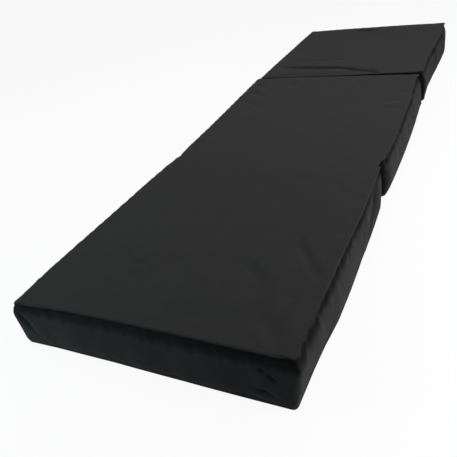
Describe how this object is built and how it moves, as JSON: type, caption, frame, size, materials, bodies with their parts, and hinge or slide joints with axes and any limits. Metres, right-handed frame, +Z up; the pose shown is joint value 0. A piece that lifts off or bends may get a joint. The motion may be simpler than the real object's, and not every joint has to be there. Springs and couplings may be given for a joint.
{
  "type": "fold out ottoman guest bed",
  "caption": "Long low guest bed of soft foam sections in zipped black fabric covers, hinged over and under like a letter Z so that it folds up into a square ottoman.",
  "frame": {"origin": "on the floor under the centre of the middle section's base", "axes": "+Y from the foot end to the head end, +X to the right across the bed, +Z up"},
  "size_m": [0.6052, 2.032, 0.106],
  "materials": {
    "cover_fabric": "closely woven black polyester with a soft sheen",
    "base_fabric": "matt black woven polyester",
    "foam": "open-cell cream foam",
    "zip_tape": "black knitted zip tape",
    "zip_coil": "black nylon coil",
    "zip_metal": "black lacquered zinc"
  },
  "bodies": {
    "foot": {"foot_foam_core": "foam", "foot_top_panel": "cover_fabric", "foot_base_panel": "base_fabric", "foot_side_band": "cover_fabric", "foot_zip_strip_upper": "cover_fabric", "foot_zip_strip_lower": "cover_fabric", "foot_zip_tape_upper": "zip_tape", "foot_zip_tape_lower": "zip_tape", "foot_zip_chain": "zip_coil", "foot_zip_stops": "zip_metal", "top_hinge_cloth": "cover_fabric"},
    "middle": {"middle_foam_core": "foam", "middle_top_panel": "cover_fabric", "middle_base_panel": "base_fabric", "middle_side_band": "cover_fabric", "middle_zip_strip_upper": "cover_fabric", "middle_zip_strip_lower": "cover_fabric", "middle_zip_tape_upper": "zip_tape", "middle_zip_tape_lower": "zip_tape", "middle_zip_chain": "zip_coil", "middle_zip_stops": "zip_metal", "base_hinge_cloth": "base_fabric"},
    "head": {"head_foam_core": "foam", "head_top_panel": "cover_fabric", "head_base_panel": "base_fabric", "head_side_band": "cover_fabric", "head_zip_strip_upper": "cover_fabric", "head_zip_strip_lower": "cover_fabric", "head_zip_tape_upper": "zip_tape", "head_zip_tape_lower": "zip_tape", "head_zip_chain": "zip_coil", "head_zip_stops": "zip_metal"},
    "foot_slider": {"foot_zip_slider": "zip_metal"},
    "foot_pull": {"foot_zip_pull": "zip_metal"},
    "middle_slider": {"middle_zip_slider": "zip_metal"},
    "middle_pull": {"middle_zip_pull": "zip_metal"},
    "head_slider": {"head_zip_slider": "zip_metal"},
    "head_pull": {"head_zip_pull": "zip_metal"}
  },
  "joints": [
    {"name": "foot_fold", "type": "hinge", "parent": "foot", "child": "middle", "pos_m": [0, -0.34, 0.1064], "axis": [1, 0, 0], "range_deg": [0, 180], "deforming": ["top_hinge_cloth"]},
    {"name": "head_fold", "type": "hinge", "parent": "middle", "child": "head", "pos_m": [0, 0.34, -0.0004], "axis": [-1, 0, 0], "range_deg": [0, 180], "deforming": ["base_hinge_cloth"]},
    {"name": "foot_zip", "type": "slide", "parent": "foot", "child": "foot_slider", "axis": [0, 1, 0], "range_m": [0, 0.54], "deforming": ["foot_zip_chain"]},
    {"name": "foot_pull_swing", "type": "hinge", "parent": "foot_slider", "child": "foot_pull", "pos_m": [-0.30275, -0.9485, 0.05075], "axis": [0, 0, 1], "range_deg": [0, 175]},
    {"name": "middle_zip", "type": "slide", "parent": "middle", "child": "middle_slider", "axis": [0, 1, 0], "range_m": [0, 0.54], "deforming": ["middle_zip_chain"]},
    {"name": "middle_pull_swing", "type": "hinge", "parent": "middle_slider", "child": "middle_pull", "pos_m": [-0.30275, -0.2685, 0.05075], "axis": [0, 0, 1], "range_deg": [0, 175]},
    {"name": "head_zip", "type": "slide", "parent": "head", "child": "head_slider", "axis": [0, 1, 0], "range_m": [0, 0.54], "deforming": ["head_zip_chain"]},
    {"name": "head_pull_swing", "type": "hinge", "parent": "head_slider", "child": "head_pull", "pos_m": [-0.30275, 0.4115, 0.05075], "axis": [0, 0, 1], "range_deg": [0, 175]}
  ]
}
